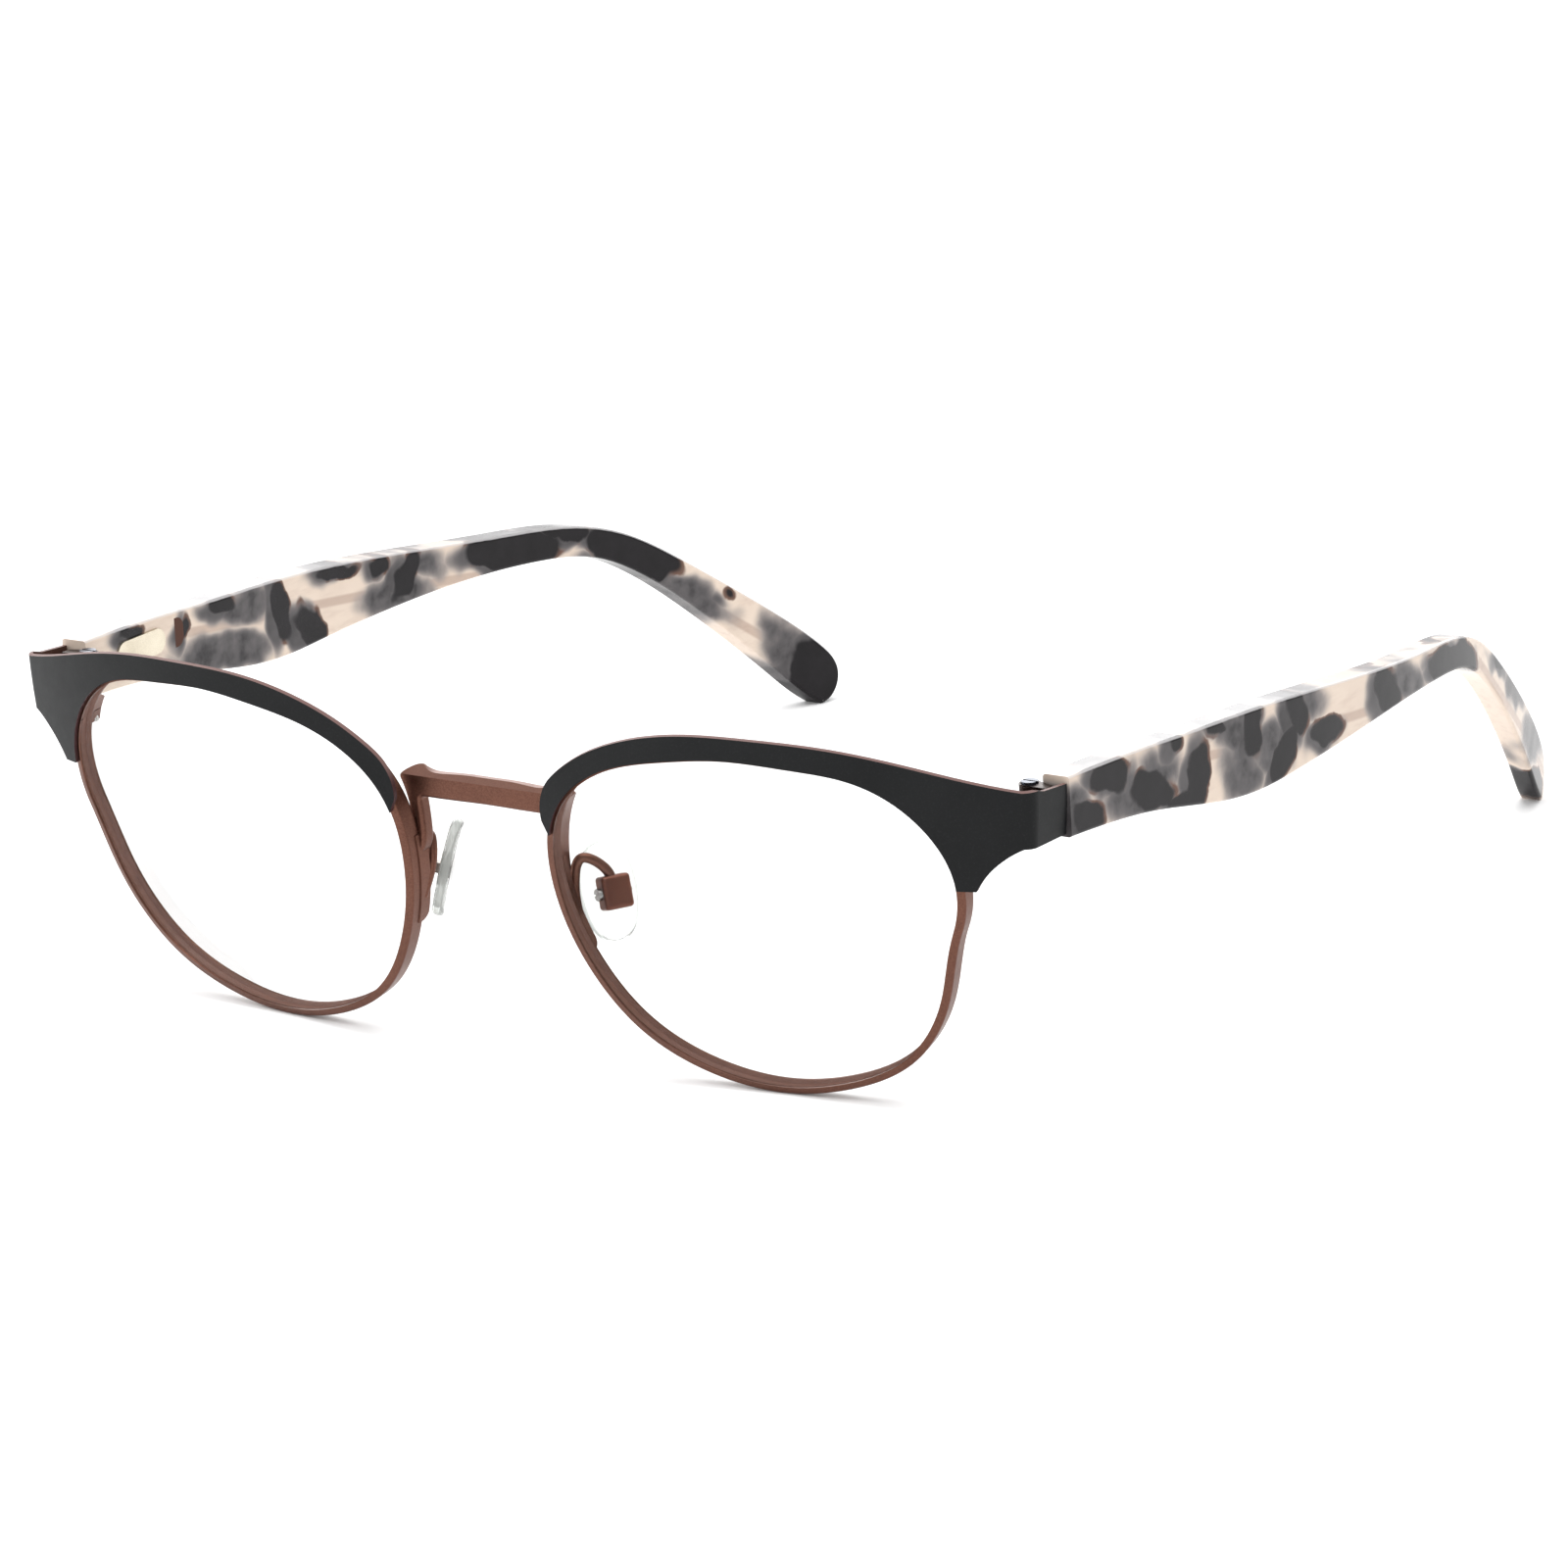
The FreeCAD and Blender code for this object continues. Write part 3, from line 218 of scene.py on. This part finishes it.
def black_material():
    """Brow plates: satin black coating over bronze, with the bronze showing at the cut edges and a
    painted highlight on the upper cut edges.
    """
    g = Graph("brow_black")
    x = g.axes(g.place)[0]
    across = g.math("ABSOLUTE", x)
    nx, ny, nz = g.axes(g.normal)
    fine = g.noise(0.22, 4.0, 0.65)
    broad = g.noise(9.0, 2.0)
    coat = g.mix(broad, srgb(16, 17, 18), srgb(27, 28, 29))
    coat = g.mix(g.math("MULTIPLY", g.step(fine, 0.5, 0.75), 0.25), coat, srgb(50, 50, 52))
    flat = g.math("ABSOLUTE", ny)
    in_front = g.step(across, BEND_END, BEND_START)
    cut = g.math("MULTIPLY", g.step(flat, 0.55, 0.25), in_front)
    cut = g.math("MAXIMUM", cut, g.step(g.math("ABSOLUTE", nz), 0.6, 0.85))
    # painted highlight: cut edges facing up are painted pale pink; the other cut edges show bronze
    # brown
    upper_edge_highlight = g.step(nz, 0.1, 0.5)
    bronze_edge_and_highlight = g.mix(upper_edge_highlight, srgb(70, 44, 44), srgb(122, 94, 90))
    inward = g.math("MULTIPLY", g.math("MULTIPLY", nx, g.math("SIGN", x)), -1.0)
    bent_side = g.math("MULTIPLY", g.step(inward, 0.4, 0.8), g.step(across, INNER_START, INNER_END))
    inner = g.math("MAXIMUM", g.step(ny, 0.4, 0.8), bent_side)
    inner = g.math("MULTIPLY", inner, 0.9)
    color = g.mix(g.math("MULTIPLY", cut, 0.85), coat, bronze_edge_and_highlight)
    color = g.mix(inner, color, srgb(78, 52, 44))
    rough = g.span(g.noise(1.5, 4.0, 0.6), 0.36, 0.5)
    return g.surface(
        Base_Color=color,
        Metallic=0.0,
        Roughness=rough,
        Specular_IOR_Level=0.13,
        Normal=g.bump(fine, 0.006),
    )


# ---------------------------------------------------------------- clear pieces

# Centre of the ball that the left lens is curved round (mm), worked out from part.py's sizes;
# the right lens mirrors it.
LENS_BALL = (24.65, 22.66, 41.22)


def lens_material():
    """Clear coated lens: nearly all light goes straight through."""
    g = Graph("lens_coated")
    cloud = g.noise(14.0, 2.0)
    clear = g.node("ShaderNodeBsdfTransparent")
    g.put(clear.inputs[0], g.mix(cloud, srgb(253, 254, 254), srgb(255, 255, 255)))
    gloss = g.node("ShaderNodeBsdfAnisotropic")
    g.put(gloss.inputs["Color"], g.mix(cloud, srgb(214, 236, 226), srgb(226, 230, 248)))
    g.put(gloss.inputs["Roughness"], g.span(g.noise(3.0), 0.02, 0.05))
    g.put(gloss.inputs["Normal"], g.bump(g.noise(11.0), 0.004))
    fresnel = g.node("ShaderNodeFresnel", {"IOR": 1.12})
    both = g.node("ShaderNodeMixShader")
    g.put(both.inputs[0], g.math("MULTIPLY", fresnel.outputs[0], 0.35))
    g.tree.links.new(clear.outputs[0], both.inputs[1])
    g.tree.links.new(gloss.outputs[0], both.inputs[2])
    # the ground edge is frosted, and is painted dark brown as a painted reflection of the rim round it
    # in painted shade
    side = g.math("SIGN", g.axes(g.place)[0])
    centre = g.node("ShaderNodeCombineXYZ", {0: g.math("MULTIPLY", side, LENS_BALL[0]),
                                             1: LENS_BALL[1], 2: LENS_BALL[2]})
    spoke = g.vector("NORMALIZE", g.vector("SUBTRACT", g.place, centre.outputs[0]))
    facing = g.math("ABSOLUTE", g.vector("DOT_PRODUCT", spoke, g.normal))
    frosted = g.node("ShaderNodeBsdfPrincipled")
    # painted reflection and painted shade: the rim's brown, darkened, put on the lens edge
    rim_shade_reflection = g.mix(g.noise(1.5, 3.0), srgb(100, 66, 54), srgb(120, 82, 68))
    g.put(frosted.inputs["Base Color"], rim_shade_reflection)
    g.put(frosted.inputs["Roughness"], g.span(g.noise(0.7, 3.0), 0.5, 0.65))
    g.put(frosted.inputs["Normal"], g.bump(g.noise(0.3, 3.0), 0.004))
    whole = g.node("ShaderNodeMixShader")
    g.put(whole.inputs[0], g.step(facing, 0.985, 0.95))
    g.tree.links.new(both.outputs[0], whole.inputs[1])
    g.tree.links.new(frosted.outputs[0], whole.inputs[2])
    g.tree.links.new(whole.outputs[0], g.output.inputs["Surface"])
    return g.material


# The way the left pad's broad face looks, which a scratch program measured on the pad's mesh; the
# right pad mirrors it.
PAD_FACING = (0.86, -0.44, 0.26)


def silicone_material():
    """Nose pads: clear soft silicone, greyer and less clear round the edge."""
    g = Graph("pad_clear")
    x = g.axes(g.place)[0]
    nx, ny, nz = g.axes(g.normal)
    across = g.math("MULTIPLY", g.math("MULTIPLY", nx, g.math("SIGN", x)), PAD_FACING[0])
    back = g.math("MULTIPLY_ADD", ny, PAD_FACING[1], across)
    facing = g.math("ABSOLUTE", g.math("MULTIPLY_ADD", nz, PAD_FACING[2], back))
    border = g.step(facing, 0.88, 0.4)
    cloud = g.noise(2.5, 3.0)
    color = g.mix(cloud, srgb(238, 240, 238), srgb(250, 250, 248))
    color = g.mix(border, color, srgb(196, 199, 195))
    rough = g.span(g.noise(0.8, 3.0), 0.10, 0.2)
    return g.surface(
        Base_Color=color,
        Roughness=rough,
        IOR=1.36,
        Transmission_Weight=g.span(border, 0.94, 0.45),
        Normal=g.bump(g.noise(1.4, 2.0), 0.01),
    )


# ---------------------------------------------------------------- acetate temples

# Every patch: middle y and z, half length, half height (mm), and turn in degrees. A scratch program
# worked out places and sizes from ellipses read off the photo in pixels; the tables started from what
# it printed, and many patches were then moved, resized or added by hand. The builder's rules don't
# allow such tables: see "Rules not kept" in report.md.
LEFT_DARK = (
    (-51.5, 32.7, 3.2, 2.1, -20),
    (-46.7, 36.3, 4.2, 2.1, -6),
    (-38.5, 32.5, 4.9, 2.3, -14),
    (-33.9, 36.6, 1.5, 1.4, -32),
    (-29.7, 31.6, 4.7, 2.5, 74),
    (-32.3, 29.6, 3.8, 1.4, -16),
    (-25.6, 36.3, 2.1, 1.3, -20),
    (-18.3, 34.1, 3.8, 2.2, 82),
    (-9.3, 33.7, 3.5, 2.3, -52),
    (-12.3, 29.6, 3.8, 1.8, 44),
    (-2.9, 29.7, 3.8, 1.6, -6),
    (12.1, 30.2, 3.9, 2.9, -44),
    (32.2, 27.9, 8.6, 2.7, -14),
    (50.0, 22.9, 3.8, 0.9, -35),
    (65.1, 2.6, 5.2, 2.7, -16),
)
LEFT_SMOKE = (
    (-53.3, 34.4, 2.6, 1.8, -20),
    (-43.7, 33.4, 4.6, 3.0, -39),
    (-36.7, 34.6, 4.4, 1.8, -14),
    (-22.1, 34.8, 3.8, 2.4, -22),
    (-20.9, 30.0, 4.2, 3.2, -60),
    (-15.1, 31.1, 4.0, 3.0, -13),
    (-6.3, 34.0, 3.0, 1.8, -21),
    (17.9, 29.6, 4.6, 2.8, -21),
    (24.7, 30.4, 3.0, 1.2, -14),
    (56.4, 17.5, 5.6, 1.2, -34),
    (66.5, 9.0, 7.0, 3.0, -20),
    (52.5, 10.8, 6.0, 1.5, -42),
)
RIGHT_DARK = (
    (-46.0, 37.3, 2.2, 1.0, -7),
    (-36.1, 34.8, 1.9, 0.9, 64),
    (-28.8, 36.2, 2.9, 1.2, -11),
    (-17.4, 32.5, 4.6, 1.6, -82),
    (-12.1, 28.9, 4.4, 2.3, -50),
    (-6.3, 34.5, 4.5, 1.1, -7),
    (1.3, 33.2, 2.0, 1.4, -16),
    (5.7, 31.1, 3.8, 1.8, 50),
    (23.6, 29.8, 8.4, 2.7, -10),
    (42.9, 25.3, 8.0, 2.7, -29),
    (32.4, 30.2, 4.8, 1.2, -18),
    (56.7, 16.6, 1.0, 0.7, -17),
    (68.9, 3.8, 5.6, 3.7, -66),
)
RIGHT_SMOKE = (
    (-24.3, 35.0, 5.4, 2.0, -9),
    (-28.9, 30.4, 9.6, 2.6, -9),
    (3.7, 28.8, 6.0, 2.4, -4),
    (8.1, 32.2, 5.0, 1.7, -15),
    (36.7, 24.0, 5.4, 1.6, -25),
    (50.3, 18.4, 7.6, 2.3, -37),
    (63.9, 9.0, 4.2, 2.6, -64),
)
# The core wire's line seen from the side, as (y, z) in mm, and how it fades in behind the housing.
WIRE_FRONT = (-41.3, 35.1)
WIRE_BEND = (41.7, 25.2)
WIRE_END = (63.9, 8.6)
WIRE_HIDDEN, WIRE_SHOWN = -38.0, -34.0
# Half height of the wire's mark, where it fades out and where it is full (mm).
WIRE_OUTSIDE, WIRE_INSIDE = 0.75, 0.35
# Half width given to every patch (mm), so large that it runs straight through the sheet.
THROUGH_SHEET = 1000.0


def patch_field(g, place, patches):
    """Distance inside the nearest patch, in millimetres: above 0 inside, below 0 outside."""
    field = None
    for middle_y, middle_z, length, height, turn in patches:
        local = g.node(
            "ShaderNodeMapping",
            {
                "Vector": place,
                "Location": (0.0, middle_y, middle_z),
                "Rotation": (math.radians(turn), 0.0, 0.0),
                "Scale": (THROUGH_SHEET, length, height),
            },
            vector_type="TEXTURE",
        )
        away = g.vector("LENGTH", local.outputs[0])
        size = math.sqrt(length * height)
        inside = g.math("MULTIPLY_ADD", away, -size, size)
        field = inside if field is None else g.math("MAXIMUM", field, inside)
    return field


def line_distance(g, y, z, start, end):
    """Distance from the line through two points, seen from the side."""
    length = math.dist(start, end)
    across_y = -(end[1] - start[1]) / length
    across_z = (end[0] - start[0]) / length
    shift = across_y * start[0] + across_z * start[1]
    total = g.math("MULTIPLY_ADD", y, across_y, g.math("MULTIPLY_ADD", z, across_z, -shift))
    return g.math("ABSOLUTE", total)


def acetate_material(name, dark, smoke):
    """Polished cellulose acetate: cream, smoky grey clouds, and dark patches edged in brown."""
    g = Graph(name)
    y, z = g.axes(g.place)[1:]
    nz = g.axes(g.normal)[2]
    ragged = g.wander(g.wander(g.place, 4.2, 1.5), 1.1, 0.22, 2.0)
    soft = g.wander(g.place, 5.0, 2.2)
    dark_field = patch_field(g, ragged, dark)
    ahead = g.vector("ADD", soft, (0.0, 1.3, 0.2))
    halo_field = patch_field(g, ahead, dark)
    smoke_field = patch_field(g, soft, smoke)

    cream = g.mix(g.noise(7.0, 3.0), srgb(228, 212, 196), srgb(210, 192, 177))
    streak = g.noise(1.0, 3.0, 0.6, g.vector("MULTIPLY", g.place, (1.0, 0.16, 1.0)))
    cream = g.mix(g.math("MULTIPLY", g.step(streak, 0.45, 0.8), 0.35), cream, srgb(186, 162, 148))
    wire = g.math("MINIMUM",
                  g.math("MAXIMUM", line_distance(g, y, z, WIRE_FRONT, WIRE_BEND),
                         g.math("SUBTRACT", y, WIRE_BEND[0])),
                  g.math("MAXIMUM", line_distance(g, y, z, WIRE_BEND, WIRE_END),
                         g.math("SUBTRACT", WIRE_BEND[0], y)))
    behind = g.step(y, WIRE_HIDDEN, WIRE_SHOWN)
    wire_mask = g.math("MULTIPLY", g.step(wire, WIRE_OUTSIDE, WIRE_INSIDE), behind)
    cream = g.mix(g.math("MULTIPLY", wire_mask, 0.5), cream, srgb(156, 128, 114))

    thin = g.span(g.noise(2.6, 3.0), 0.45, 1.15)
    cloud = g.math("MULTIPLY", g.step(smoke_field, -2.1, 1.9), thin)
    halo = g.math("MULTIPLY", g.step(halo_field, -1.7, 0.9), g.span(g.noise(4.0), 0.6, 1.0))
    haze = g.math("MAXIMUM", cloud, halo)
    color = g.mix(g.step(haze, 0.0, 0.5), cream, srgb(150, 142, 138))
    color = g.mix(g.step(haze, 0.3, 0.75), color, srgb(88, 85, 86))
    color = g.mix(g.step(haze, 0.7, 1.0), color, srgb(36, 34, 36))
    bare = g.step(haze, 0.75, 0.3)
    rim = g.math("MULTIPLY", g.step(dark_field, -0.35, 0.0), g.math("MULTIPLY", bare, 0.9))
    color = g.mix(rim, color, srgb(86, 52, 38))
    core = g.step(dark_field, -0.05, 0.5)
    deep = g.mix(g.noise(2.6, 2.0), srgb(14, 12, 13), srgb(32, 29, 32))
    color = g.mix(core, color, deep)
    # painted highlight: the corner of the top edge is painted paler than the top face behind it, which
    # is painted a little paler too
    corner_highlight = g.math("MULTIPLY", g.step(nz, 0.3, 0.6), g.step(nz, 0.98, 0.86))
    top_highlight = g.math("MAXIMUM", g.math("MULTIPLY", corner_highlight, 0.6),
                 g.math("MULTIPLY", g.step(nz, 0.8, 0.95), 0.28))
    color = g.mix(top_highlight, color, srgb(206, 204, 205))
    rough = g.span(g.noise(2.0, 3.0), 0.12, 0.2)
    return g.surface(
        Base_Color=color,
        Roughness=rough,
        IOR=1.49,
        Specular_IOR_Level=0.16,
        Normal=g.bump(g.noise(3.5, 2.0), 0.02),
    )


# ---------------------------------------------------------------- assign finishes

FINISHES = {
    "copper_metal": copper_material(),
    "black_plate": black_material(),
    "lens_clear": lens_material(),
    "pad_silicone": silicone_material(),
    "pad_metal": metal("pad_box_bronze", srgb(88, 56, 47), srgb(128, 84, 70), 0.4),
    "core_metal": metal("core_nickel", srgb(120, 112, 106), srgb(168, 160, 152), 0.34),
    "housing_metal": housing_material(),
    "hinge_metal": metal("hinge_dark", srgb(42, 34, 32), srgb(74, 62, 58), 0.36),
    "hinge_screw_metal": metal("screw_blue_grey", srgb(58, 62, 72), srgb(98, 104, 116), 0.28),
    "screw_steel": metal("steel_bright", srgb(150, 148, 146), srgb(206, 204, 200), 0.24),
}
ACETATE = {
    "left_temple": acetate_material("acetate_left", LEFT_DARK, LEFT_SMOKE),
    "right_temple": acetate_material("acetate_right", RIGHT_DARK, RIGHT_SMOKE),
}
for node_name, node in NODES.items():
    for place in node.material_slots:
        slot_name = place.material.name.split(".")[0]
        place.material = ACETATE.get(node_name) or FINISHES[slot_name]


# ---------------------------------------------------------------- stage and light

def floor():
    """Pale floor, 8 m square."""
    half = 4.0
    corners = [(-half, -half, 0.0), (half, -half, 0.0), (half, half, 0.0), (-half, half, 0.0)]
    mesh = bpy.data.meshes.new("floor")
    mesh.from_pydata(corners, [], [(0, 1, 2, 3)])
    made = bpy.data.objects.new("floor", mesh)
    bpy.context.scene.collection.objects.link(made)
    g = Graph("floor_pale")
    color = g.mix(g.noise(60.0), srgb(247, 247, 247), srgb(250, 250, 250))
    rough = g.span(g.noise(40.0), 0.85, 0.95)
    mesh.materials.append(g.surface(Base_Color=color, Roughness=rough, Specular_IOR_Level=0.1))


def softbox(name, place, target, width, height, power):
    """Soft rectangular light: places and sizes in metres, power in watts."""
    data = bpy.data.lights.new(name, "AREA")
    data.shape = "RECTANGLE"
    data.size = width
    data.size_y = height
    data.energy = power
    made = bpy.data.objects.new(name, data)
    bpy.context.scene.collection.objects.link(made)
    made.location = place
    away = Vector(target) - Vector(place)
    made.rotation_euler = away.to_track_quat("-Z", "Y").to_euler()


floor()
softbox("light_top", (0.1, -0.1, 1.3), (0.0, 0.0, 0.0), 1.2, 1.2, 14.0)
softbox("light_left", (-1.0, -0.7, 0.7), (0.0, 0.0, 0.02), 0.7, 0.9, 7.0)
softbox("light_back", (-0.7, 1.2, 0.55), (0.0, 0.0, 0.02), 1.4, 0.7, 9.0)

WORLD_STRENGTH = 0.75
world = bpy.data.worlds.new("studio")
bpy.context.scene.world = world
world.use_nodes = True
backdrop = world.node_tree.nodes["Background"]
backdrop.inputs["Color"].default_value = (1.0, 1.0, 1.0, 1.0)
backdrop.inputs["Strength"].default_value = WORLD_STRENGTH

bpy.context.scene.view_settings.view_transform = "Standard"


# ---------------------------------------------------------------- camera

# Place (m), angles (degrees), focal length and sensor (mm), and shift (part of the picture's width). A
# scratch program fitted these to the photo; the frame doesn't give them.
CAMERA_PLACE = Vector((0.64058, -0.91012, 0.33817))
YAW = math.radians(35.375)
PITCH = math.radians(16.180)
ROLL = math.radians(-3.196)
FOCAL_LENGTH = 229.9
SENSOR_WIDTH = 36.0
SHIFT_X = -0.00772
SHIFT_Y = -0.0028
forward = Vector((
    -math.sin(YAW) * math.cos(PITCH),
    math.cos(YAW) * math.cos(PITCH),
    -math.sin(PITCH),
))
level = Vector((math.cos(YAW), math.sin(YAW), 0.0))
level_up = level.cross(forward)
camera_right = level * math.cos(ROLL) + level_up * math.sin(ROLL)
camera_up = level_up * math.cos(ROLL) - level * math.sin(ROLL)
camera_data = bpy.data.cameras.new("camera")
camera_data.lens = FOCAL_LENGTH
camera_data.sensor_width = SENSOR_WIDTH
camera_data.shift_x = SHIFT_X
camera_data.shift_y = SHIFT_Y
camera_data.clip_start = 0.05
camera_data.clip_end = 20.0
camera = bpy.data.objects.new("camera", camera_data)
bpy.context.scene.collection.objects.link(camera)
turn = Matrix((camera_right, camera_up, -forward)).transposed()
camera.matrix_world = Matrix.Translation(CAMERA_PLACE) @ turn.to_4x4()
bpy.context.scene.camera = camera
